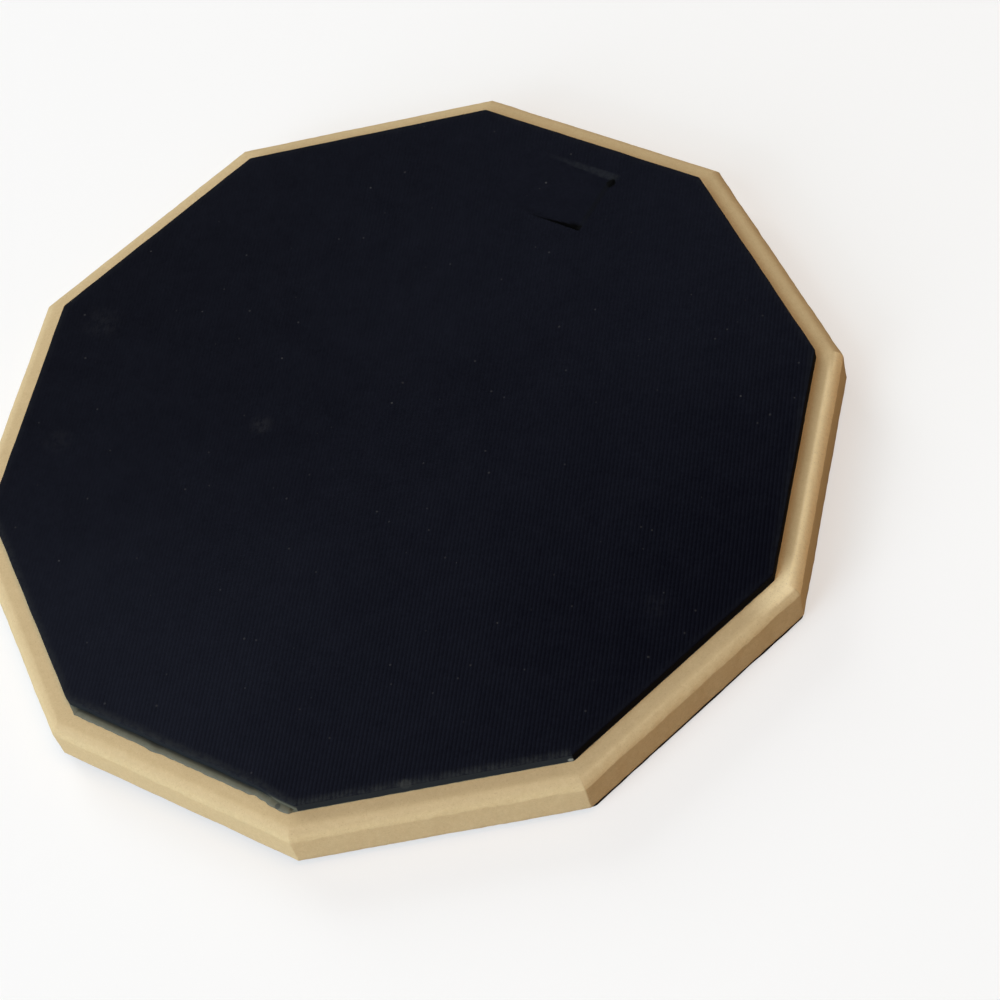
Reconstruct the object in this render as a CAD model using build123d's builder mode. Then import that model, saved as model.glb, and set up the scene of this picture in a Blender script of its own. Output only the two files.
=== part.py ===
from build123d import *
import os
from math import cos, pi, sin

# A twelve inch practice pad. A ten-sided fibreboard base carries a playing sheet of ribbed gum
# rubber, glued on slightly off centre, and a thinner foam sheet underneath that keeps the pad
# from sliding and quietens it.
#
# Frame: the origin is the centre of the underside, +Z is up, and two corners of the base lie
# on the X axis, so that flat sides face +Y and -Y. All lengths are in millimetres.

# Driving dimensions
side_count = 10
base_across_corners = 304.8   # nominal twelve inches, corner to corner
base_thickness = 16.0         # standard fibreboard sheet
upper_edge_radius = 4.75      # upper edge rounded over with a 3/16 in router bit
lower_arris = 0.6             # lower edge broken with sandpaper

pad_corner_radius = 143.0     # centre of the playing sheet to one of its corners
pad_thickness = 3.8
pad_corner_round = 1.8        # corners of the sheet, seen from above
pad_rim_round = 1.0           # upper edge of the sheet
pad_shift_x = 0.4             # the sheet sits this far off the base's centre
pad_shift_y = -0.7
front_side = -90.0            # directions that sides of the sheet face, in degrees
front_left_side = -126.0
back_right_side = 54.0
pad_trims = {front_side: 0.5, front_left_side: 2.0}  # sides cut this much further in

back_corner_radius = 150.5    # the foam sheet reaches nearly to the base's edge
back_thickness = 3.0
back_corner_round = 3.0
back_shift_x = 0.6            # the foam is off centre too
back_shift_y = 0.2
back_trims = {front_side: 0.7}

pad_glue_film = 0.2
back_glue_film = 0.2
bead_overhang = 0.4           # squeezed-out adhesive beyond the film, on the front left side
bead_height = 0.8
bead_end_gap = 3.0            # the bead stops this far from each corner of the sheet

# A blank mark pressed into the playing sheet beside one of its sides. It is deepest at one
# end, and its floor slopes up to nothing at the other.
mark_near_edge = 100.3        # sheet's centre to the mark's inner edge
mark_far_edge = 127.0         # sheet's centre to the mark's outer edge
mark_deep_end = -16.3         # places along the side, from the side's middle
mark_shallow_end = 30.0
mark_depth = 0.8

# Heights of the layers, from the underside upwards
back_glue_bottom = back_thickness
base_bottom = back_glue_bottom + back_glue_film
base_top = base_bottom + base_thickness
pad_bottom = base_top + pad_glue_film
pad_top = pad_bottom + pad_thickness


def apothem(corner_radius):
    """Centre of a ten-sided outline to the middle of one of its sides."""
    return corner_radius * cos(pi / side_count)


def side_length(corner_radius):
    """Length of one side of a ten-sided outline."""
    return 2 * corner_radius * sin(pi / side_count)


def layer_plane(height, side_angle=0.0):
    """Plane at a height over the playing sheet's centre, its X axis square to one side."""
    return Plane(
        origin=(pad_shift_x, pad_shift_y, height),
        x_dir=Vector(1, 0, 0).rotate(Axis.Z, side_angle),
        z_dir=(0, 0, 1),
    )


def draw_cut_sheet(sketch, corner_radius, trims, corner_round):
    """Draws a ten-sided sheet, some of its sides cut further in, with rounded corners."""
    RegularPolygon(radius=corner_radius, side_count=side_count)
    length = side_length(corner_radius)
    for side_angle, trim in trims.items():
        with PolarLocations(apothem(corner_radius) - trim, 1, start_angle=side_angle):
            Rectangle(length, 2 * length, align=(Align.MIN, Align.CENTER), mode=Mode.SUBTRACT)
    fillet(sketch.vertices(), corner_round)


# Base: a ten-sided board with its upper edge rounded over and its lower edge broken
with BuildPart() as base_board:
    with BuildSketch(Plane.XY.offset(base_bottom)):
        RegularPolygon(radius=base_across_corners / 2, side_count=side_count)
    extrude(amount=base_thickness)
    fillet(base_board.faces().sort_by(Axis.Z)[-1].edges(), radius=upper_edge_radius)
    chamfer(base_board.faces().sort_by(Axis.Z)[0].edges(), length=lower_arris)
base_board.part.label = "base_board"


# Adhesive under the playing sheet: a thin film, and the bead it left along one side
with BuildPart() as pad_adhesive:
    with BuildSketch(layer_plane(base_top)) as film_outline:
        draw_cut_sheet(film_outline, pad_corner_radius, {}, pad_corner_round)
    extrude(amount=pad_glue_film)
    with BuildSketch(layer_plane(base_top, front_left_side)):
        with Locations((apothem(pad_corner_radius) + bead_overhang, 0)):
            Rectangle(
                pad_trims[front_left_side] + bead_overhang,
                side_length(pad_corner_radius) - 2 * bead_end_gap,
                align=(Align.MAX, Align.CENTER),
            )
    extrude(amount=bead_height)
    bead_top_edges = pad_adhesive.faces().sort_by(Axis.Z)[-1].edges()
    chamfer(bead_top_edges.sort_by_distance((0, 0, 0))[-1], length=bead_height / 2)
pad_adhesive.part.label = "pad_adhesive"


# Playing sheet: gum rubber with rounded corners, a softened rim and the pressed mark
with BuildPart() as playing_pad:
    with BuildSketch(layer_plane(pad_bottom)) as pad_outline:
        draw_cut_sheet(pad_outline, pad_corner_radius, pad_trims, pad_corner_round)
    extrude(amount=pad_thickness)
    fillet(playing_pad.faces().sort_by(Axis.Z)[-1].edges(), radius=pad_rim_round)
    mark_section = Plane(
        origin=layer_plane(pad_top, back_right_side).from_local_coords((mark_near_edge, 0, 0)),
        x_dir=layer_plane(pad_top, back_right_side).y_dir,
        z_dir=layer_plane(pad_top, back_right_side).x_dir,
    )
    with BuildSketch(mark_section):
        with BuildLine():
            Polyline(
                (mark_deep_end, 0),
                (mark_shallow_end, 0),
                (mark_deep_end, -mark_depth),
                close=True,
            )
        make_face()
    extrude(amount=mark_far_edge - mark_near_edge, mode=Mode.SUBTRACT)
playing_pad.part.label = "playing_pad"


# Adhesive film between the base and the foam
with BuildPart() as back_adhesive:
    with BuildSketch(Plane((back_shift_x, back_shift_y, back_glue_bottom))) as back_film_outline:
        draw_cut_sheet(back_film_outline, back_corner_radius, back_trims, back_corner_round)
    extrude(amount=back_glue_film)
back_adhesive.part.label = "back_adhesive"


# Foam sheet that the pad rests on
with BuildPart() as back_pad:
    with BuildSketch(Plane((back_shift_x, back_shift_y, 0))) as back_outline:
        draw_cut_sheet(back_outline, back_corner_radius, back_trims, back_corner_round)
    extrude(amount=back_thickness)
back_pad.part.label = "back_pad"


os.makedirs("parts", exist_ok=True)
export_step(base_board.part, "parts/base_board.step")
export_step(pad_adhesive.part, "parts/pad_adhesive.step")
export_step(playing_pad.part, "parts/playing_pad.step")
export_step(back_adhesive.part, "parts/back_adhesive.step")
export_step(back_pad.part, "parts/back_pad.step")
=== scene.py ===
import math

import bpy
import numpy as np
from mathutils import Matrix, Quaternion, Vector


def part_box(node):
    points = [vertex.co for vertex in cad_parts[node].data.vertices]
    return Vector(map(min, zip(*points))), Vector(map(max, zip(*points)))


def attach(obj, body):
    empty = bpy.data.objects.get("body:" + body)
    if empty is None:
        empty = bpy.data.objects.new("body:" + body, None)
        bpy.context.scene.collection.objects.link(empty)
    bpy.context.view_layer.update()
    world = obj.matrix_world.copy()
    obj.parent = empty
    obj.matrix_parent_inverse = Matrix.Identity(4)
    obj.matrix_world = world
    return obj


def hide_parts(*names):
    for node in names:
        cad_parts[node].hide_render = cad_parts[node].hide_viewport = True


# A twelve inch practice pad in metres, in the frame of its CAD model: a ten-sided fibreboard
# base, a ribbed black rubber playing sheet glued on top, and a thin foam sheet underneath.

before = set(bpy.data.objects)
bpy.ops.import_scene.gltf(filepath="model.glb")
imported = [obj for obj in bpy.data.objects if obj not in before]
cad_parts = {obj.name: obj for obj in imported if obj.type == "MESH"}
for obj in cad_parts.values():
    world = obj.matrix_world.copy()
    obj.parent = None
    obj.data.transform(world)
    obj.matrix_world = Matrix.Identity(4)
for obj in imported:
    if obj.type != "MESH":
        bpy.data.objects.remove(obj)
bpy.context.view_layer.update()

MM = 0.001

# Directions that the ten sides face, in degrees, counter-clockwise from the first one past +X
SIDE_COUNT = 10
SIDE_TURN = 360 // SIDE_COUNT
SIDE_DEGREES = [SIDE_TURN // 2 + SIDE_TURN * side for side in range(SIDE_COUNT)]
SIDE_ANGLES = np.radians(SIDE_DEGREES)
SIDE_NORMALS = np.stack([np.cos(SIDE_ANGLES), np.sin(SIDE_ANGLES)], axis=1)
SIDE_TANGENTS = np.stack([-np.sin(SIDE_ANGLES), np.cos(SIDE_ANGLES)], axis=1)
HALF_CORNER = math.pi / SIDE_COUNT
BACK_RIGHT = SIDE_DEGREES.index(54)
LEFT = SIDE_DEGREES.index(198)
FRONT_LEFT = SIDE_DEGREES.index(234)
FRONT = SIDE_DEGREES.index(270)
FRONT_RIGHT = SIDE_DEGREES.index(306)
RIGHT = SIDE_DEGREES.index(342)

# Layers, from the CAD nodes
BASE_LOW, BASE_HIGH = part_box("base_board")
FILM_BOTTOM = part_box("pad_adhesive")[0].z
SHEET_LOW, SHEET_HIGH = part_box("playing_pad")
FOAM_LOW, FOAM_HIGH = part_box("back_pad")
BASE_APOTHEM = (BASE_HIGH.x - BASE_LOW.x) / 2 * math.cos(HALF_CORNER)
BASE_HALF_SIDE = BASE_APOTHEM * math.tan(HALF_CORNER)
SHEET_TOP = SHEET_HIGH.z
SHEET_BOTTOM = SHEET_LOW.z


def cut_sheet(low, high, corner, trims):
    """Centre and side distances of a glued sheet, from its CAD box. The sheet's left, right and
    back edges are untrimmed; each rounded corner falls a little short of the sharp one."""
    short = corner * (1 / math.cos(HALF_CORNER) - 1)
    apothem = ((high.x - low.x) / 2 + short) * math.cos(HALF_CORNER)
    distances = np.full(SIDE_COUNT, apothem)
    for side, trim in trims.items():
        distances[side] -= trim
    return np.array([(high.x + low.x) / 2, high.y - apothem]), distances


SHEET_CORNER = 1.8 * MM
SHEET_TRIMS = {FRONT: 0.5 * MM, FRONT_LEFT: 2.0 * MM}
SHEET_CENTRE, SHEET_SIDES = cut_sheet(SHEET_LOW, SHEET_HIGH, SHEET_CORNER, SHEET_TRIMS)
SHEET_APOTHEM = SHEET_SIDES[BACK_RIGHT]
SHEET_HALF_SIDE = SHEET_APOTHEM * math.tan(HALF_CORNER)
FOAM_CORNER = 3.0 * MM
FOAM_TRIMS = {FRONT: 0.7 * MM}
FOAM_CENTRE, FOAM_SIDES = cut_sheet(FOAM_LOW, FOAM_HIGH, FOAM_CORNER, FOAM_TRIMS)


# ---------------------------------------------------------------- shared geometry

def smooth(value, start, end):
    """0 at start, 1 at end, eased between."""
    share = np.clip((value - start) / (end - start), 0, 1)
    return share * share * (3 - 2 * share)


def waves(points, shortest, longest, seed, count=24):
    """Smooth repeatable noise of about unit size: plane waves of many lengths and directions."""
    rng = np.random.default_rng(seed)
    total = np.zeros(points.shape[:-1])
    for _ in range(count):
        direction = rng.normal(size=points.shape[-1])
        direction /= np.linalg.norm(direction)
        length = math.exp(rng.uniform(math.log(shortest), math.log(longest)))
        phase = rng.uniform(0, 2 * math.pi)
        total += np.sin(points @ direction * (2 * math.pi / length) + phase)
    return total * math.sqrt(2 / count)


def outline(distances, corner, per_side, per_corner=4):
    """Points round the ten-sided outline whose sides lie at the given distances, with rounded
    corners: their places, outward directions, side numbers and places along the side."""
    places, outward, sides = [], [], []
    for side in range(SIDE_COUNT):
        after, before = (side + 1) % SIDE_COUNT, (side - 1) % SIDE_COUNT
        ends = []
        for other in (before, after):
            both = np.array([SIDE_NORMALS[side], SIDE_NORMALS[other]])
            reach = np.array([distances[side], distances[other]]) - corner
            ends.append(np.linalg.solve(both, reach))
        for share in np.linspace(0, 1, per_side):
            centre = ends[0] + (ends[1] - ends[0]) * share
            places.append(centre + SIDE_NORMALS[side] * corner)
            outward.append(SIDE_NORMALS[side])
            sides.append(side)
        for step in range(1, per_corner + 1):
            angle = SIDE_ANGLES[side] + 2 * HALF_CORNER * step / (per_corner + 1)
            direction = np.array([math.cos(angle), math.sin(angle)])
            places.append(ends[1] + direction * corner)
            outward.append(direction)
            sides.append(side)
    places, outward, sides = np.array(places), np.array(outward), np.array(sides)
    along = (places * SIDE_TANGENTS[sides]).sum(1)
    return places, outward, sides, along


def closed_skin(rings):
    """Points and faces of a closed skin through equal rings of points. The faces look outwards
    when the rings are counter-clockwise and go from underneath up and over."""
    count, per_ring = len(rings), len(rings[0])
    start = np.arange(count - 1)[:, None] * per_ring
    here = np.arange(per_ring)[None, :]
    following = (here + 1) % per_ring
    quads = np.stack(
        [start + here, start + following, start + per_ring + following, start + per_ring + here],
        axis=-1,
    )
    first = list(range(per_ring))
    last = [(count - 1) * per_ring + point for point in first]
    return np.concatenate(rings), quads.reshape(-1, 4).tolist() + [first[::-1], last]


def add_piece(name, points, faces, material, sharp_degrees, **attributes):
    """Makes a mesh object that rides on the CAD body, with named values on its points. Edges
    that turn by more than sharp_degrees look sharp."""
    mesh = bpy.data.meshes.new(name)
    mesh.from_pydata(points.tolist(), [], faces)
    mesh.update()
    for key, values in attributes.items():
        layer = mesh.attributes.new(key, "FLOAT", "POINT")
        layer.data.foreach_set("value", np.asarray(values, np.float32).ravel())
    mesh.shade_smooth()
    mesh.set_sharp_from_angle(angle=math.radians(sharp_degrees))
    mesh.materials.append(material)
    piece = bpy.data.objects.new(name, mesh)
    bpy.context.scene.collection.objects.link(piece)
    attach(piece, "root")
    return piece


# ---------------------------------------------------------------- shared material nodes

def colour(red, green, blue):
    return (red, green, blue, 1.0)


def new_material(name):
    """A new material, with its node tree, its shader and the place on the object."""
    material = bpy.data.materials.new(name)
    material.use_nodes = True
    tree = material.node_tree
    place = tree.nodes.new("ShaderNodeTexCoord").outputs["Object"]
    return material, tree, tree.nodes["Principled BSDF"], place


def node(tree, kind, inputs=None, **settings):
    """A new node with its settings, and its inputs given as values or as outputs to link."""
    made = tree.nodes.new(kind)
    for key, value in settings.items():
        setattr(made, key, value)
    for key, value in (inputs or {}).items():
        if isinstance(value, bpy.types.NodeSocket):
            tree.links.new(value, made.inputs[key])
        else:
            made.inputs[key].default_value = value
    return made


def maths(tree, operation, a, b):
    return node(tree, "ShaderNodeMath", {0: a, 1: b}, operation=operation).outputs[0]


def spread(tree, value, start, end, low=0.0, high=1.0):
    """Eases from low to high as value goes from start to end."""
    inputs = {"Value": value, 1: start, 2: end, 3: low, 4: high}
    made = node(tree, "ShaderNodeMapRange", inputs, interpolation_type="SMOOTHSTEP")
    return made.outputs[0]


def noise(tree, place, size, detail=3.0, rough=0.55, stretch=(1, 1, 1)):
    """Noise between about 0 and 1, with features of the given size in metres. They are finer
    by the stretch along each axis."""
    scaled = node(tree, "ShaderNodeVectorMath", {0: place, 1: stretch}, operation="MULTIPLY")
    inputs = {"Vector": scaled.outputs[0], "Scale": 1 / size, "Detail": detail, "Roughness": rough}
    return node(tree, "ShaderNodeTexNoise", inputs).outputs[0]


def mixed(tree, share, a, b):
    """Colour a where the share is 0 and colour b where it is 1."""
    inputs = {0: share, 6: a, 7: b}
    return node(tree, "ShaderNodeMix", inputs, data_type="RGBA").outputs[2]


def attribute(tree, name):
    return node(tree, "ShaderNodeAttribute", attribute_name=name).outputs["Fac"]


def bump(tree, height, distance, strength):
    inputs = {"Height": height, "Distance": distance, "Strength": strength}
    return node(tree, "ShaderNodeBump", inputs).outputs[0]


def set_surface(tree, shader, tone, roughness, specular, relief=None):
    """Gives a shader its colour, roughness and shine, and its fine relief if there is any."""
    tree.links.new(tone, shader.inputs["Base Color"])
    shader.inputs["Roughness"].default_value = roughness
    shader.inputs["Specular IOR Level"].default_value = specular
    if relief is not None:
        tree.links.new(relief, shader.inputs["Normal"])


ADHESIVE_DARK, ADHESIVE_PALE = colour(0.080, 0.083, 0.060), colour(0.135, 0.135, 0.098)


# ---------------------------------------------------------------- fibreboard base

BOARD_CORNER = 1.0 * MM
LEDGE_WIDTH = 14 * MM         # how far in the upper face has rings of points
ROUND_WIDE = 4.2 * MM         # the round-over, seen from above
ROUND_TALL = 3.75 * MM
ROUND_END = math.radians(79)  # its slope where it meets the wall
ROUND_STEPS = 40
WALL_RINGS = 11
LEDGE_RINGS = 11
LOWER_ARRIS = 0.6 * MM
WALL_HIGH = BASE_HIGH.z - ROUND_TALL


def fibreboard_material():
    """Pressed fibre: mottled faces, paler machined edges with level streaks, flecks and dark
    fibres all over, and a painted highlight on the right side's upper edge."""
    material, tree, shader, place = new_material("fibreboard")
    edge = attribute(tree, "edge")
    speckle = noise(tree, place, 0.5 * MM, 4.0, 0.7)
    mottle = noise(tree, place, 9 * MM, 3.0)
    streak = noise(tree, place, 2.2 * MM, 4.0, 0.65, stretch=(1, 1, 5))
    face_tone = mixed(tree, mottle, colour(0.50, 0.385, 0.215), colour(0.57, 0.445, 0.255))
    edge_tone = mixed(tree, streak, colour(0.53, 0.415, 0.225), colour(0.66, 0.535, 0.305))
    tone = mixed(tree, edge, face_tone, edge_tone)
    # A painted highlight on the right side's upper edge and round its corner with the front right
    tone = mixed(tree, attribute(tree, "painted_highlight"), tone, colour(0.86, 0.72, 0.44))
    flecks = noise(tree, place, 1.2 * MM, 4.0, 0.75, stretch=(1, 1, 0.6))
    brown = spread(tree, flecks, 0.62, 0.36, 0.0, 0.15)
    tone = mixed(tree, brown, tone, colour(0.43, 0.32, 0.165))
    straw = spread(tree, flecks, 0.50, 0.72, 0.0, 0.14)
    tone = mixed(tree, straw, tone, colour(0.70, 0.57, 0.345))
    dark = mixed(tree, 0.75, tone, colour(0.25, 0.16, 0.08))
    fibres = spread(tree, speckle, 0.46, 0.30, 0.0, 0.40)
    tone = mixed(tree, fibres, tone, dark)
    relief = bump(tree, speckle, 0.12 * MM, 0.6)
    set_surface(tree, shader, tone, roughness=0.85, specular=0.2, relief=relief)
    return material


def board_levels():
    """Inset, height and share of machined edge of each ring of the board's skin, from the
    underside up and over. The round-over meets the wall at a slight edge."""
    low, high = BASE_LOW.z, BASE_HIGH.z
    levels = [(inset * MM, low, 0) for inset in (14, 8, 4, 2, 1)]
    levels += [(LOWER_ARRIS, low, 0.5), (LOWER_ARRIS * 0.3, low + LOWER_ARRIS * 0.3, 1)]
    heights = np.linspace(low + LOWER_ARRIS, WALL_HIGH - 0.15 * MM, WALL_RINGS)
    levels += [(0, height, 1) for height in heights]
    slopes = ROUND_END * np.linspace(1, 0, ROUND_STEPS) ** 0.8
    wide, tall = np.cumsum(np.cos(slopes)), np.cumsum(np.sin(slopes))
    insets = ROUND_WIDE * (wide - wide[0]) / (wide[-1] - wide[0])
    rises = ROUND_TALL * (tall - tall[0]) / (tall[-1] - tall[0])
    for step in (0, 1, *range(3, ROUND_STEPS, 3)):
        edge = 0.95 * smooth(insets[step], 2.0 * MM, 0.1 * MM)
        levels.append((insets[step], WALL_HIGH + rises[step], edge))
    ledge = np.linspace(ROUND_WIDE + 0.5 * MM, LEDGE_WIDTH, LEDGE_RINGS)
    return levels + [(inset, high, 0) for inset in ledge]


def painted_highlight_arris(sides, along, inset, height):
    """Where a highlight is painted on the board's upper edge: along the right side, in a wider
    patch round its corner with the front right side, and over the round-over's steep part
    beside both."""
    half = BASE_HALF_SIDE
    band = smooth(inset, 1.2 * MM, 1.9 * MM) * smooth(inset, 4.4 * MM, 3.0 * MM)
    on_right = (sides == RIGHT) * smooth(along, half - 1 * MM, half - 12 * MM)
    patch = smooth(inset, 1.0 * MM, 2.0 * MM) * smooth(inset, 10 * MM, 6 * MM)
    before_corner = (sides == FRONT_RIGHT) * smooth(along, half - 20 * MM, half - 4 * MM)
    after_corner = (sides == RIGHT) * smooth(along, 14 * MM - half, 2 * MM - half)
    steep = smooth(inset, 3.2 * MM, 2.2 * MM) * (inset > 0.01 * MM)
    steep = steep * (1.0 * (sides == RIGHT) + 0.25 * (sides == FRONT_RIGHT))
    painted_highlight = band * on_right + patch * np.maximum(before_corner, after_corner)
    return np.maximum(painted_highlight, steep).clip(0, 1) * (height > WALL_HIGH - 1 * MM)


def board_ring(inset, height, edge):
    """One ring of the board's skin, with the small unevenness of sawn and sanded fibreboard,
    and the painted highlight at its points.
    """
    distances = np.full(SIDE_COUNT, BASE_APOTHEM - inset)
    places, outward, sides, along = outline(distances, BOARD_CORNER, 92)
    ring = np.column_stack([places, np.full(len(places), height)])
    relief = waves(ring, 12 * MM, 60 * MM, 3) * 0.05 * MM
    relief += waves(ring, 2.5 * MM, 8 * MM, 4) * 0.03 * MM
    relief *= (1.0 if edge > 0 else 0.4) * (inset < 10 * MM)
    ring[:, :2] += outward * (edge * relief)[:, None]
    ring[:, 2] += (1 - edge) * relief * (height > (BASE_LOW.z + BASE_HIGH.z) / 2)
    # The line where the round-over meets the wall wanders a little
    wander = waves(places, 3 * MM, 12 * MM, 5) * 0.12 * MM
    wander += waves(places, 15 * MM, 50 * MM, 6) * 0.09 * MM
    ring[:, 2] += wander * smooth(abs(height - WALL_HIGH), 1.5 * MM, 0.2 * MM)
    return ring, painted_highlight_arris(sides, along, inset, height)


def build_board():
    levels = board_levels()
    rings, painted_highlights = zip(*[board_ring(*level) for level in levels])
    edges = np.repeat([edge for inset, height, edge in levels], len(rings[0]))
    points, faces = closed_skin(rings)
    material = fibreboard_material()
    values = {"edge": edges, "painted_highlight": np.concatenate(painted_highlights)}
    piece = add_piece("fibreboard_base", points, faces, material, sharp_degrees=40, **values)
    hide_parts("base_board")


# ---------------------------------------------------------------- rubber playing sheet

RIB_PITCH = 1.33 * MM
RIB_DEPTH = 0.155 * MM
RIB_ANGLE = math.radians(76)
ALONG_RIB = np.array([math.cos(RIB_ANGLE), math.sin(RIB_ANGLE)])
ACROSS_RIB = np.array([math.sin(RIB_ANGLE), -math.cos(RIB_ANGLE)])
# The ribs are crisp at the front right and shallow towards the back left: their least depth as
# a share, and the places along a direction, in metres, between which they get deeper
RIB_LEAST = 0.16
FADE_DIRECTION, FADE_START, FADE_STOP = np.array([-0.4, 1.0]), 0.06, -0.14
RIM_ROUND = 0.35 * MM
RIM_CROWN = 0.12 * MM
CROWN_WIDTH = 3.0 * MM
# Depths of the knife-cut wall's rings of points, as shares of its height
WALL_STEPS = (0.04, 0.25, 0.5, 0.75, 1.0)

# The sheet's mesh has lines along the ribs, cut into columns that crowd at the rim and at the
# mark's two long walls. Places of the lines across one rib, as shares of the pitch from its
# crest, the valley being at one half, and beside the sheet's first and last lines:
RIB_LINES = (-0.38, -0.2, 0.0, 0.2, 0.38, 0.5)
END_LINES = np.array([0.004, 0.03, 0.09, 0.2]) * MM
END_GAP = 0.3 * MM
# Places of the columns from the rim, and from the mark's inner and outer walls
EDGE_STEPS = np.array([0, 0.03, 0.09, 0.19, 0.35, 0.6, 1.0, 1.7, 2.8, 4.2]) * MM
NEAR_STEPS = np.array([-0.3, 0.0, 0.15, 0.3, 0.5, 0.8, 1.2, 1.6, 2.1]) * MM
FAR_STEPS = np.array([-0.5, 0.0, 0.5, 1.0, 1.6, 2.2, 2.8, 3.2]) * MM
# Where the columns of the two walls lie on lines that miss the mark, as shares of the line, and
# how many columns lie before, between and after them
NEAR_SHARE, FAR_SHARE = 0.72, 0.86
PLAIN_COLUMNS = (12, 14, 3)
# The lines that cross the mark, with a margin on both sides in which the columns swing over
MARK_LINES = np.array([-12, 4, 68, 84]) * MM

# The pressed mark: steep along its inner edge, sloping along its outer edge, and shallower
# towards one end
MARK_NORMAL, MARK_TANGENT = SIDE_NORMALS[BACK_RIGHT], SIDE_TANGENTS[BACK_RIGHT]
MARK_NEAR, MARK_FAR = 99.0 * MM, 126.2 * MM
MARK_DEEP_END, MARK_SHALLOW_END = -16.3 * MM, 30.0 * MM
MARK_DEPTH = 0.8 * MM
MARK_FADE = 1.7               # the power by which its depth falls off towards that end
MARK_WALL = 0.5 * MM
MARK_WALL_SPREAD = 5 * MM     # extra width of the inner wall where the mark ends
MARK_END_WALL = 2.2 * MM
MARK_SLOPE = 2.8 * MM

# Chalky smudges on the rubber: place and radius in millimetres, and strength
SMUDGES = ((-46, 13, 5.5, 0.11), (-101, 72, 10, 0.06), (-118, 23, 7, 0.06), (78, -88, 6, 0.04))
# Small spots: place and depth below the sheet's top in millimetres, radius and strength
GLUE_SPOTS = ((44.4, -136.4, 3.0, 1.1, 0.9), (-7.6, -135.9, 0.0, 2.4, 0.05))
# Painted shade in the pit at the mark's deep end, given like the small spots
MARK_PIT_SHADE = ((85.2, 88.8, 0.0, 2.3, 1.0),)
PAINTED_SHADE_BLACK = colour(0.0004, 0.0004, 0.0006)

# At the corner between the front and front left sides the knife ran outwards by this much. The
# run grows between two places along the front left side, and fades between two distances in.
CORNER_RUN = np.array([1.9, 0.0]) * MM
RUN_START, RUN_FULL = 26 * MM, 40 * MM
RUN_FADE_START, RUN_FADE_STOP = 3 * MM, 12 * MM


def by_side(usual, others):
    """A value for each of the ten sides: the usual one, apart from the sides named."""
    values = np.full(SIDE_COUNT, usual)
    for side, value in others.items():
        values[side] = value
    return values


# Width of the smooth border outside the ribs
BORDERS = by_side(0.8, {FRONT: 1.1, FRONT_LEFT: 2.6, LEFT: 2.0, FRONT_RIGHT: 1.2}) * MM
# Strength of the pale rim: wear, and a painted highlight on the sides that face the light
WEAR_AND_HIGHLIGHT = by_side(0.2, {FRONT: 1.0, FRONT_LEFT: 0.75, LEFT: 0.6, FRONT_RIGHT: 0.1})
# How pale the knife-cut wall is: dust, and painted light on the sides that face the light
DUST_AND_LIGHT = by_side(0.3, {FRONT: 1.0, FRONT_LEFT: 0.8, LEFT: 0.8, FRONT_RIGHT: 0.0, RIGHT: 0.0})


def run_out(points):
    """Share of the knife's outward run at points by the sheet's front left corner."""
    beside, out = points @ SIDE_TANGENTS[FRONT_LEFT], points @ SIDE_NORMALS[FRONT_LEFT]
    faded = smooth(SHEET_SIDES[FRONT_LEFT] - out, RUN_FADE_STOP, RUN_FADE_START)
    return smooth(beside, RUN_START, RUN_FULL) * faded


def sheet_rim():
    """Points round the sheet's outline, with the knife's outward run. The run is measured where
    a point ends up, so it is found in a few rounds."""
    straight = outline(SHEET_SIDES, SHEET_CORNER, 40, 24)[0]
    rim = straight
    for _ in range(8):
        rim = straight - run_out(rim)[:, None] * CORNER_RUN
    return rim


def sheet_inside(points):
    """How far points lie inside the sheet's outline, with the side each is nearest to."""
    points = points + run_out(points)[..., None] * CORNER_RUN
    reach = points @ SIDE_NORMALS.T - (SHEET_SIDES - SHEET_CORNER)
    nearest = reach.argmax(-1)
    outside = reach.max(-1)
    for side in range(SIDE_COUNT):
        after = (side + 1) % SIDE_COUNT
        both = np.array([SIDE_NORMALS[side], SIDE_NORMALS[after]])
        corner = np.linalg.solve(both, SHEET_SIDES[[side, after]] - SHEET_CORNER)
        offset = points - corner
        beyond = (offset @ SIDE_TANGENTS[side] > 0) & (offset @ SIDE_TANGENTS[after] < 0)
        outside = np.where(beyond, np.linalg.norm(offset, axis=-1), outside)
    return SHEET_CORNER - outside, nearest


def edge_wave(points, nearest):
    """How far the knife-cut edge wanders outwards at points beside it."""
    along = (points * SIDE_TANGENTS[nearest]).sum(-1)
    window = smooth(np.abs(along), SHEET_HALF_SIDE - 2 * MM, SHEET_HALF_SIDE - 9 * MM)
    wander = waves(along[..., None] + nearest[..., None], 11 * MM, 60 * MM, 11)
    return wander * window * 0.045 * MM


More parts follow.
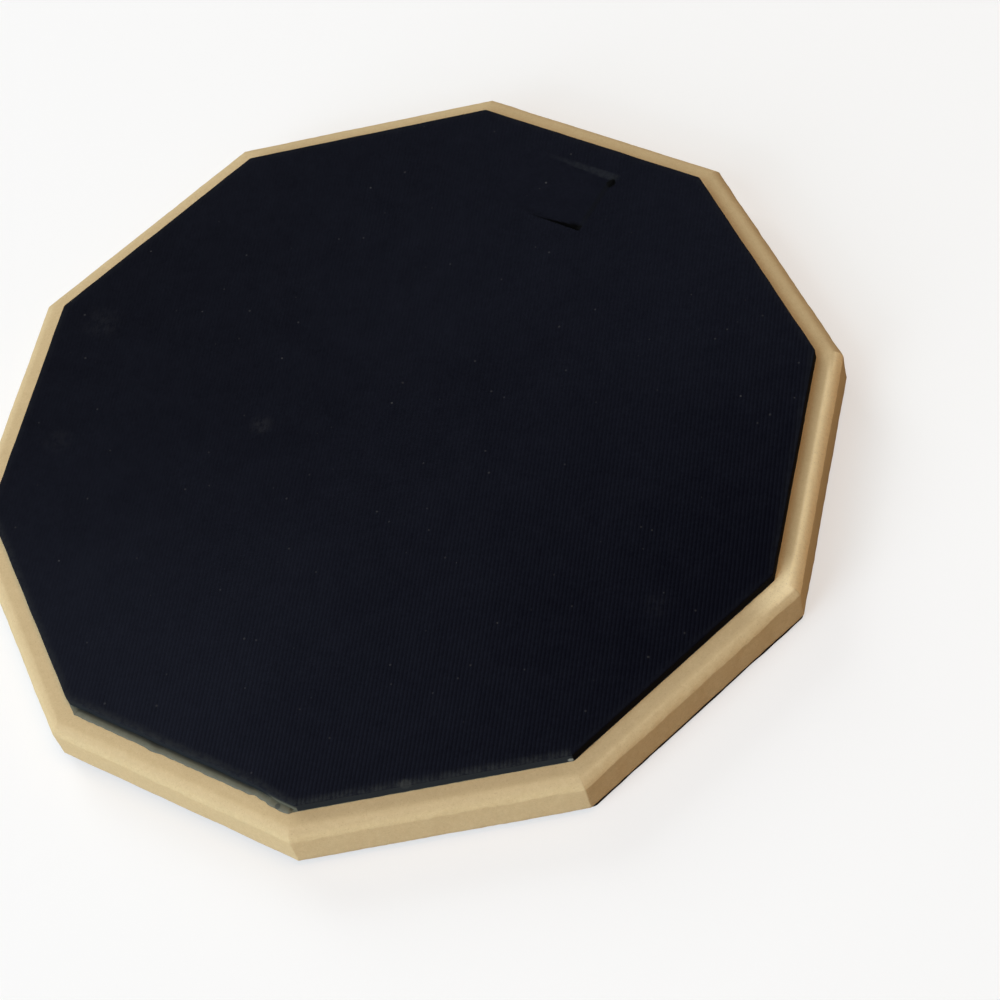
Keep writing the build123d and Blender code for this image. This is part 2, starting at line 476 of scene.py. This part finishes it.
def mark_depth(out, beside):
    """Depth of the pressed mark as a share, from a point's distance out and place along its
    side, the painted shade at the feet of its walls, and the painted highlight on its outer
    slope."""
    reach = np.clip((MARK_SHALLOW_END - beside) / (MARK_SHALLOW_END - MARK_DEEP_END), 0, 1)
    floor = reach ** MARK_FADE
    end_wall = smooth(beside, MARK_DEEP_END, MARK_DEEP_END + MARK_END_WALL)
    inner = smooth(out, MARK_NEAR, MARK_NEAR + MARK_WALL + (1 - reach) * MARK_WALL_SPREAD)
    wide = MARK_SLOPE * (0.35 + 0.65 * floor)
    outer = np.clip((MARK_FAR - out) / wide, 0, 1)
    # Painted shade at the foot of the inner wall, widest near the deep end
    foot = (0.5 + 1.6 * smooth(reach, 0.65, 0.95)) * MM
    shade = smooth(out - MARK_NEAR, foot + 0.3 * MM, foot) * (out > MARK_NEAR)
    shade *= smooth(reach, 0.5, 0.75)
    shade *= smooth(beside, MARK_DEEP_END, MARK_DEEP_END + 0.5 * MM)
    # Fainter painted shade at the foot of the end wall
    end = smooth(np.abs(beside - MARK_DEEP_END - 1 * MM), 1.6 * MM, 0.6 * MM)
    end *= smooth(out, MARK_NEAR, MARK_NEAR + 8 * MM) * smooth(out, MARK_FAR, MARK_FAR - 4 * MM)
    # A painted highlight on the middle of the outer slope
    painted_highlight = smooth(np.abs(out - MARK_FAR + wide / 2), wide * 0.62, wide * 0.42)
    painted_highlight *= smooth(beside, MARK_DEEP_END - 2 * MM, MARK_DEEP_END) * smooth(reach, 0.3, 0.75)
    return floor * inner * outer * end_wall, np.maximum(shade, 0.5 * end), painted_highlight


def away_from(tree, place, x, y, drop=0.0):
    """Distance from a point given in millimetres, the drop below the sheet's top."""
    centre = (x * MM, y * MM, SHEET_TOP - drop * MM)
    inputs = {0: place, 1: centre}
    return node(tree, "ShaderNodeVectorMath", inputs, operation="DISTANCE").outputs["Value"]


def spotted(tree, place, spots, base, tint):
    """Mixes a tint over the base colour at small ragged spots."""
    ragged = maths(tree, "ADD", noise(tree, place, 1.2 * MM, 3.0), 0.5)
    for x, y, drop, radius, strength in spots:
        away = maths(tree, "MULTIPLY", away_from(tree, place, x, y, drop), ragged)
        share = spread(tree, away, radius * MM, radius * 0.6 * MM, 0.0, strength)
        base = mixed(tree, share, base, tint)
    return base


def smudged(tree, place, base):
    """Mixes patchy chalk smudges over the base colour."""
    patchy = spread(tree, noise(tree, place, 2.5 * MM, 4.0, 0.7), 0.38, 0.62)
    for x, y, radius, strength in SMUDGES:
        away = away_from(tree, place, x, y)
        share = spread(tree, away, radius * MM, radius * 0.2 * MM, 0.0, strength)
        share = maths(tree, "MULTIPLY", share, patchy)
        base = mixed(tree, share, base, colour(0.060, 0.062, 0.066))
    return base


def linty(tree, place, base, cell, strength):
    """Mixes scattered soft specks of lint over the base colour, at most one in each cell."""
    cells = node(tree, "ShaderNodeTexVoronoi", {"Vector": place, "Scale": 1 / cell})
    chosen = node(tree, "ShaderNodeSeparateColor", {0: cells.outputs["Color"]}).outputs[0]
    size = spread(tree, chosen, 0.5, 1.0, 0.0, 0.55 * MM / cell)
    inside = maths(tree, "SUBTRACT", size, cells.outputs["Distance"])
    speck = spread(tree, inside, 0.0, 0.3 * MM / cell, 0.0, strength)
    return mixed(tree, speck, base, colour(0.20, 0.20, 0.20))


def rubber_tone_and_sheen(tree, place):
    """Black rubber, softly mottled, with a painted sheen that makes it greyer towards the
    front left.
    """
    axes = node(tree, "ShaderNodeSeparateXYZ", {0: place}).outputs
    # A painted sheen: the rubber is greyer towards the front left, where the light comes from
    sheen_leftward = spread(tree, axes[0], 0.13, -0.13)
    sheen_at_front = spread(tree, axes[1], 0.06, -0.10, -0.35, 1.0)
    share = maths(tree, "MULTIPLY", maths(tree, "SUBTRACT", sheen_leftward, 0.45), sheen_at_front)
    share = maths(tree, "ADD", share, 0.42)
    for size, strength in ((55 * MM, 0.5), (12 * MM, 0.45), (3 * MM, 0.3), (0.9 * MM, 0.8)):
        cloud = maths(tree, "SUBTRACT", noise(tree, place, size, 4.0, 0.6), 0.5)
        share = maths(tree, "ADD", share, maths(tree, "MULTIPLY", cloud, strength))
    return mixed(tree, share, colour(0.0019, 0.0022, 0.0053), colour(0.0068, 0.0080, 0.0140))


def rubber_material():
    """Mottled black rubber with a painted sheen towards the front left, smudges and lint, wear
    and a painted highlight beside the rim, painted shade at the feet of the mark's walls and in
    its pit, a knife-cut wall with dust and painted light and shade, and traces of glue."""
    material, tree, shader, place = new_material("gum_rubber")
    base = smudged(tree, place, rubber_tone_and_sheen(tree, place))
    base = linty(tree, place, base, 9 * MM, 0.18)
    base = linty(tree, place, base, 4.3 * MM, 0.09)
    # The pale rim: wear, and a painted highlight where the rim faces the light
    worn_and_lit = spread(tree, noise(tree, place, 2.0 * MM, 4.0, 0.75), 0.36, 0.6, 0.3, 1.0)
    worn_and_lit = maths(tree, "MULTIPLY", attribute(tree, "wear_and_highlight"), worn_and_lit)
    base = mixed(tree, worn_and_lit, base, colour(0.0215, 0.0240, 0.0265))
    # Painted shade at the feet of the mark's walls and in its pit
    base = mixed(tree, attribute(tree, "shade"), base, PAINTED_SHADE_BLACK)
    base = spotted(tree, place, MARK_PIT_SHADE, base, PAINTED_SHADE_BLACK)
    # Knife-cut wall: dust and painted light on the sides facing the light, painted shade on the
    # right
    clean, lit_dusty_wall = colour(0.0032, 0.0033, 0.0045), colour(0.021, 0.025, 0.029)
    wall = mixed(tree, attribute(tree, "dust_and_light"), clean, lit_dusty_wall)
    base = mixed(tree, attribute(tree, "cut"), base, wall)
    base = mixed(tree, attribute(tree, "smear"), base, ADHESIVE_PALE)
    base = spotted(tree, place, GLUE_SPOTS, base, colour(0.25, 0.26, 0.23))
    grain = noise(tree, place, 0.35 * MM, 4.0, 0.7)
    relief = bump(tree, grain, 0.05 * MM, 0.6)
    set_surface(tree, shader, base, roughness=0.65, specular=0.02, relief=relief)
    return material


def rib_line_places(low, high):
    """Places across the ribs for the mesh's lines, from one edge of the sheet to the other."""
    ribs = range(math.floor(low / RIB_PITCH) - 1, math.ceil(high / RIB_PITCH) + 1)
    lines = np.array([(rib + share) * RIB_PITCH for rib in ribs for share in RIB_LINES])
    inner = lines[(lines > low + END_GAP) & (lines < high - END_GAP)]
    return np.concatenate([low + END_LINES, inner, high - END_LINES[::-1]])


def line_ends(lines, rim):
    """Where the mesh's lines start and stop on the sheet's rim, as places along the ribs."""
    across, along = rim @ ACROSS_RIB, rim @ ALONG_RIB
    left, right = across.argmin(), across.argmax()
    loop = np.arange(len(rim))
    ends = []
    for start, stop in ((left, right), (right, left)):
        half = (loop - start) % len(loop) <= (stop - start) % len(loop)
        order = np.argsort(across[half])
        ends.append(np.interp(lines, across[half][order], along[half][order]))
    return ends


def edge_columns(lines, end, length):
    """Distances in from one end of each line to its closely spaced columns. They follow the
    distance to the sheet's edge, which is shorter than the distance along the rib, and take up
    less than a third of the line."""
    points = lines[:, None] * ACROSS_RIB + end[:, None] * ALONG_RIB
    side_on = np.abs(SIDE_NORMALS[sheet_inside(points)[1]] @ ALONG_RIB)
    steps = EDGE_STEPS / np.maximum(side_on, 0.06)[:, None]
    return np.minimum(steps, 0.30 * length[:, None] * np.linspace(0, 1, len(EDGE_STEPS)))


def wall_columns(lines, wall, steps, start, room, share):
    """Columns that follow a wall of the mark on the lines that cross it, and elsewhere lie at
    a share of the room along each line. They draw together where the room is short."""
    before, first, last, after = MARK_LINES
    crosses = smooth(lines, before, first) * smooth(lines, after, last)
    exact = (wall - lines * (ACROSS_RIB @ MARK_NORMAL)) / (ALONG_RIB @ MARK_NORMAL)
    centre = exact * crosses + (start + room * share) * (1 - crosses)
    width = np.minimum(1.0, room / (60 * MM)) / (ALONG_RIB @ MARK_NORMAL)
    return centre[:, None] + steps * width[:, None]


def columns_between(start, end, count):
    """Evenly spaced columns between two columns."""
    shares = np.linspace(0, 1, count + 2)[1:-1]
    return start[:, None] + (end - start)[:, None] * shares


def sheet_grid():
    """Points of the sheet's upper face in plan, as lines along the ribs cut into columns."""
    rim = sheet_rim()
    across = rim @ ACROSS_RIB
    lines = rib_line_places(across.min(), across.max())
    low_end, high_end = line_ends(lines, rim)
    length = high_end - low_end
    low = low_end[:, None] + edge_columns(lines, low_end, length)
    high = high_end[:, None] - edge_columns(lines, high_end, length)[:, ::-1]
    start, room = low[:, -1], high[:, 0] - low[:, -1]
    near = wall_columns(lines, MARK_NEAR, NEAR_STEPS, start, room, NEAR_SHARE)
    far = wall_columns(lines, MARK_FAR - MARK_SLOPE, FAR_STEPS, start, room, FAR_SHARE)
    before, between, after = PLAIN_COLUMNS
    groups = [low, columns_between(start, near[:, 0], before), near]
    groups += [columns_between(near[:, -1], far[:, 0], between), far]
    groups += [columns_between(far[:, -1], high[:, 0], after), high]
    places = np.maximum.accumulate(np.concatenate(groups, axis=1), axis=1)
    return lines, lines[:, None, None] * ACROSS_RIB + places[:, :, None] * ALONG_RIB


def sheet_surface(lines, plan):
    """Points of the sheet's upper face, with the values that its material needs."""
    inside, nearest = sheet_inside(plan)
    inside = np.maximum(inside, 0)
    depth, shade, painted_highlight = mark_depth(plan @ MARK_NORMAL, plan @ MARK_TANGENT)
    valley = 1 - np.abs(np.cos(math.pi * lines[:, None] / RIB_PITCH))
    ribbed = smooth(inside, BORDERS[nearest] * 0.5, BORDERS[nearest] * 1.2)
    crisp = smooth(plan @ FADE_DIRECTION, FADE_START, FADE_STOP) ** 1.3
    ribbed *= RIB_LEAST + (1 - RIB_LEAST) * crisp
    height = SHEET_TOP - valley * RIB_DEPTH * ribbed * (1 - smooth(depth, 0.02, 0.12))
    height -= depth * MARK_DEPTH
    height -= RIM_CROWN * np.clip(1 - inside / CROWN_WIDTH, 0, 1) ** 2.2
    short = np.clip(RIM_ROUND - inside, 0, RIM_ROUND)
    height -= RIM_ROUND - np.sqrt(RIM_ROUND ** 2 - short ** 2)
    streaks = np.where(nearest == FRONT, 1 - 0.65 * valley, 1 - 0.2 * valley)
    # Wear and a painted highlight beside the rim, and a painted highlight on the mark's outer
    # slope
    wear_and_highlight = WEAR_AND_HIGHLIGHT[nearest] * smooth(inside, 3.2 * MM, 0.2 * MM) * streaks + 0.4 * painted_highlight
    shift = edge_wave(plan, nearest) * smooth(inside, 6 * MM, 0)
    plan = plan + SIDE_NORMALS[nearest] * shift[..., None]
    points = np.concatenate([plan, height[..., None]], axis=-1)
    return points.reshape(-1, 3), wear_and_highlight.ravel(), shade.ravel()


def glue_smear(points):
    """Glue wiped up the foot of the sheet's wall by its front left corner."""
    beside = points[:, :2] @ SIDE_TANGENTS[FRONT_LEFT]
    on_side = sheet_inside(points[:, :2])[1] == FRONT_LEFT
    low = smooth(points[:, 2], SHEET_TOP - 0.8 * MM, SHEET_TOP - 2.4 * MM)
    return on_side * low * smooth(beside, 32 * MM, 37 * MM) * 0.8


def sheet_wall(top, rim):
    """Points and faces of the knife-cut wall below the rim, and of the sheet's underside."""
    loops, layers, faces = [rim], [], []
    for share in WALL_STEPS:
        lower = top[rim]
        lower[:, 2] += (SHEET_BOTTOM - lower[:, 2]) * share
        loops.append(len(top) + len(layers) * len(rim) + np.arange(len(rim)))
        layers.append(lower)
    for upper, lower in zip(loops[:-1], loops[1:]):
        faces += np.stack([lower, np.roll(lower, -1), np.roll(upper, -1), upper], -1).tolist()
    return np.concatenate(layers), faces + [loops[-1][::-1].tolist()]


def build_sheet():
    lines, plan = sheet_grid()
    rows, columns = plan.shape[:2]
    top, wear_and_highlight, shade = sheet_surface(lines, plan)
    number = np.arange(rows * columns).reshape(rows, columns)
    quads = np.stack([number[:-1, :-1], number[1:, :-1], number[1:, 1:], number[:-1, 1:]], -1)
    first, last = number[:-1, 0], number[1:, -1][::-1]
    rim = np.concatenate([first, number[-1, :-1], last, number[0, 1:][::-1]])
    wall, wall_faces = sheet_wall(top, rim)
    points = np.concatenate([top, wall])
    values = {
        "wear_and_highlight": np.append(wear_and_highlight, np.zeros(len(wall))),
        "shade": np.append(shade, np.zeros(len(wall))),
        "cut": np.append(np.zeros(len(top)), np.ones(len(wall))),
        "dust_and_light": DUST_AND_LIGHT[sheet_inside(points[:, :2])[1]],
        "smear": glue_smear(points),
    }
    points[:, :2] += SHEET_CENTRE
    faces = quads.reshape(-1, 4).tolist() + wall_faces
    material = rubber_material()
    piece = add_piece("rubber_sheet", points, faces, material, sharp_degrees=50, **values)
    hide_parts("playing_pad")


# ---------------------------------------------------------------- adhesive

# The film's edge is hidden, apart from a line squeezed out along the front left side: how far
# each reaches beyond the untrimmed sheet, the film's height, and how much higher the line is
FILM_OVERHANG = 0.05 * MM
SQUEEZED_OUT = 0.65 * MM
FILM_HEIGHT = 0.22 * MM
LINE_HEIGHT = 0.42 * MM
# Lumps and notches of the line, in millimetres: place along the side, reach, core and size
LUMPS = ((39, 7, 2, 0.75), (-11, 4, 0.5, 0.35), (29, 3, 0.5, -0.35))
# Rings of points over the film's edge: places outwards in millimetres, and shares of its height
FILM_EDGE = (
    (-6, 0), (0, 0), (0, 0.25), (-0.25, 0.5), (-0.7, 0.8), (-1.3, 1), (-2.0, 1), (-2.8, 1),
)
FILM_INNER = 6 * MM           # how far in the film's upper face has points
# The film sinks into the board's fibres by this much, and keeps just clear of the sheet
FILM_SINK, FILM_CLEAR = 0.02 * MM, 0.19 * MM
# A dark pit in the line, given like the small spots on the sheet
GLUE_PIT = ((-49.2, -133.3, 3.6, 1.2, 0.7),)


def adhesive_material():
    """Blotchy grey-green contact adhesive, dark where the sheet shades it."""
    material, tree, shader, place = new_material("adhesive")
    blotch = noise(tree, place, 1.6 * MM, 3.0)
    tone = mixed(tree, blotch, ADHESIVE_DARK, ADHESIVE_PALE)
    tone = mixed(tree, attribute(tree, "shade"), tone, colour(0.017, 0.019, 0.017))
    tone = spotted(tree, place, GLUE_PIT, tone, colour(0.020, 0.024, 0.024))
    set_surface(tree, shader, tone, roughness=0.55, specular=0.3)
    return material


def spilled(along, ragged):
    """How far the adhesive shows beyond its usual line, in millimetres."""
    spill = 0.07 * ragged
    for centre, reach, core, size in LUMPS:
        spill = spill + size * smooth(np.abs(along - centre * MM), reach * MM, core * MM)
    return spill


def build_adhesive(material):
    distances = SHEET_SIDES + FILM_OVERHANG
    distances[FRONT_LEFT] = SHEET_APOTHEM + SQUEEZED_OUT
    places, outward, sides, along = outline(distances, SHEET_CORNER, 90, 6)
    before_corner = smooth(np.abs(along), SHEET_HALF_SIDE - 0.5 * MM, SHEET_HALF_SIDE - 3 * MM)
    on_line = (sides == FRONT_LEFT) * before_corner
    ragged = waves(along[:, None] + sides[:, None], 3 * MM, 15 * MM, 21)
    reach = (on_line * spilled(along, ragged) + (1 - on_line) * 0.03 * ragged) * MM
    tall = FILM_HEIGHT + on_line * (LINE_HEIGHT + 0.1 * MM * ragged)
    low = BASE_HIGH.z - FILM_SINK
    in_shade = 1 - (sides == FRONT_LEFT) * smooth(along, 29 * MM, 34 * MM)
    rings, shades = [], []
    for out, share in FILM_EDGE:
        ring = places + (out * MM + reach)[:, None] * outward
        rings.append(np.column_stack([ring, low + tall * share]))
        shades.append(in_shade * smooth(out, -1.0, -2.6))
    inner = places - outward * FILM_INNER
    rings.append(np.column_stack([inner, np.full(len(places), FILM_BOTTOM + FILM_CLEAR)]))
    shades.append(np.ones(len(places)))
    points, faces = closed_skin(rings)
    points[:, :2] += SHEET_CENTRE
    shade = np.concatenate(shades)
    piece = add_piece("sheet_adhesive", points, faces, material, sharp_degrees=60, shade=shade)
    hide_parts("pad_adhesive")


# ---------------------------------------------------------------- foam underneath

FOAM_CELL = 0.8 * MM
FOAM_FOOT_ROUND = 0.12 * MM
FOAM_TOP_ROUND = 0.4 * MM
FOAM_HOLLOW = 0.10 * MM       # how far its cut edge is drawn in at half height
FOAM_SLANT = 0.35 * MM        # how much further out the edge is at its foot than at its top
FOAM_WANDER = 0.06 * MM


def foam_material():
    """Black closed-cell foam."""
    material, tree, shader, place = new_material("foam_rubber")
    inputs = {"Vector": place, "Scale": 1 / FOAM_CELL}
    cells = node(tree, "ShaderNodeTexVoronoi", inputs).outputs["Distance"]
    tone = mixed(tree, cells, colour(0.007, 0.007, 0.008), colour(0.018, 0.018, 0.020))
    relief = bump(tree, cells, 0.2 * MM, 0.7)
    set_surface(tree, shader, tone, roughness=0.9, specular=0.15, relief=relief)
    return material


def foam_levels():
    """Inset and height of each ring of the foam's skin, from underneath up and over."""
    low, high, foot, soft = FOAM_LOW.z, FOAM_HIGH.z, FOAM_FOOT_ROUND, FOAM_TOP_ROUND
    turns = np.radians([0, 30, 60, 90])
    levels = [(inset * MM, low) for inset in (12, 6, 3, 1.5, 0.6)]
    levels += [(foot * (1 - math.sin(turn)), low + foot * (1 - math.cos(turn))) for turn in turns]
    for height in np.linspace(low + foot, high - soft, 7)[1:-1]:
        hollow = math.sin(math.pi * (height - low) / (high - low))
        levels.append((FOAM_HOLLOW * hollow, height))
    levels += [(soft * (1 - math.cos(turn)), high - soft * (1 - math.sin(turn))) for turn in turns]
    return levels + [(3 * MM, high)]


def foam_ring(inset, height):
    """One ring of the foam's skin, with the knife's slant and small wander."""
    slant = FOAM_SLANT * (FOAM_HIGH.z - height) / (FOAM_HIGH.z - FOAM_LOW.z)
    places, outward = outline(FOAM_SIDES - inset + slant, FOAM_CORNER, 60, 8)[:2]
    ring = np.column_stack([places, np.full(len(places), height)])
    wander = waves(ring, 6 * MM, 40 * MM, 31) * FOAM_WANDER * (inset < 1 * MM)
    ring[:, :2] += FOAM_CENTRE + outward * wander[:, None]
    return ring


def build_foam():
    points, faces = closed_skin([foam_ring(*level) for level in foam_levels()])
    piece = add_piece("foam_sheet", points, faces, foam_material(), sharp_degrees=50)
    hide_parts("back_pad")


# ---------------------------------------------------------------- floor, light and camera

FLOOR_REACH = 4.0
# The camera looks at a point on the base's upper face. Its angles are in degrees: the azimuth is
# from the front towards the right side.
VIEW_TARGET = Vector((0.03208, -0.03376, BASE_HIGH.z))
VIEW_AZIMUTH, VIEW_ELEVATION, VIEW_ROLL = 9.714, 54.392, -18.81
VIEW_DISTANCE = 0.94036
VIEW_SENSOR, VIEW_LENS = 36.0, 102.38
# Distance and width of every light, and each light's azimuth, elevation, power and tint
LIGHT_DISTANCE, LIGHT_WIDTH = 5.0, 2.6
LIGHTS = {
    "key": (-138, 20, 194, (0.83, 0.89, 1.0)),
    "upper_key": (-138, 45, 94, (0.64, 0.88, 1.0)),
    "window": (120, 30, 139, (0.96, 1.0, 0.98)),
    "overhead": (-35, 72, 97, (1.0, 0.60, 0.27)),
}


def add_floor():
    mesh = bpy.data.meshes.new("floor")
    reach = FLOOR_REACH
    corners = [(-reach, -reach, 0), (reach, -reach, 0), (reach, reach, 0), (-reach, reach, 0)]
    mesh.from_pydata(corners, [], [(0, 1, 2, 3)])
    floor = bpy.data.objects.new("floor", mesh)
    bpy.context.scene.collection.objects.link(floor)
    material, tree, shader, _ = new_material("pale_floor")
    # Seen directly the floor is near white, with pale shadows; the light that it throws back
    # is warmer
    seen = node(tree, "ShaderNodeLightPath").outputs["Is Camera Ray"]
    tone = mixed(tree, seen, colour(0.51, 0.33, 0.185), colour(0.36, 0.37, 0.38))
    set_surface(tree, shader, tone, roughness=0.9, specular=0.0)
    shader.inputs["Emission Color"].default_value = colour(0.93, 0.92, 0.91)
    tree.links.new(maths(tree, "MULTIPLY", seen, 0.6), shader.inputs["Emission Strength"])
    mesh.materials.append(material)


def unit_vector(azimuth, elevation):
    """Unit vector from the object, for an azimuth counter-clockwise from +X, in degrees."""
    across, up = math.radians(azimuth), math.radians(elevation)
    return Vector((
        math.cos(across) * math.cos(up),
        math.sin(across) * math.cos(up),
        math.sin(up),
    ))


def add_area(name, azimuth, elevation, power, tint):
    """A square light that faces the object from the given direction."""
    data = bpy.data.lights.new(name, "AREA")
    data.size = LIGHT_WIDTH
    data.energy = power
    data.color = tint
    light = bpy.data.objects.new(name, data)
    towards = unit_vector(azimuth, elevation)
    light.location = towards * LIGHT_DISTANCE
    light.rotation_mode = "QUATERNION"
    light.rotation_quaternion = towards.to_track_quat("Z", "Y")
    bpy.context.scene.collection.objects.link(light)


def add_lights():
    for name, settings in LIGHTS.items():
        add_area(name, *settings)
    world = bpy.data.worlds.new("world")
    world.use_nodes = True
    background = world.node_tree.nodes["Background"]
    background.inputs["Color"].default_value = colour(0.66, 0.82, 1.0)
    background.inputs["Strength"].default_value = 0.19
    bpy.context.scene.world = world


def add_camera():
    data = bpy.data.cameras.new("camera")
    data.sensor_width = VIEW_SENSOR
    data.lens = VIEW_LENS
    camera = bpy.data.objects.new("camera", data)
    back = unit_vector(VIEW_AZIMUTH - 90, VIEW_ELEVATION)
    roll = Quaternion((0, 0, 1), math.radians(VIEW_ROLL))
    camera.location = VIEW_TARGET + back * VIEW_DISTANCE
    camera.rotation_mode = "QUATERNION"
    camera.rotation_quaternion = (-back).to_track_quat("-Z", "Y") @ roll
    bpy.context.scene.collection.objects.link(camera)
    bpy.context.scene.camera = camera


glue = adhesive_material()
build_board()
build_sheet()
build_adhesive(glue)
build_foam()
# The film over the foam keeps its CAD shape
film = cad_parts["back_adhesive"]
film.data.materials.clear()
film.data.materials.append(glue)
add_floor()
add_lights()
add_camera()
bpy.context.scene.view_settings.view_transform = "Standard"
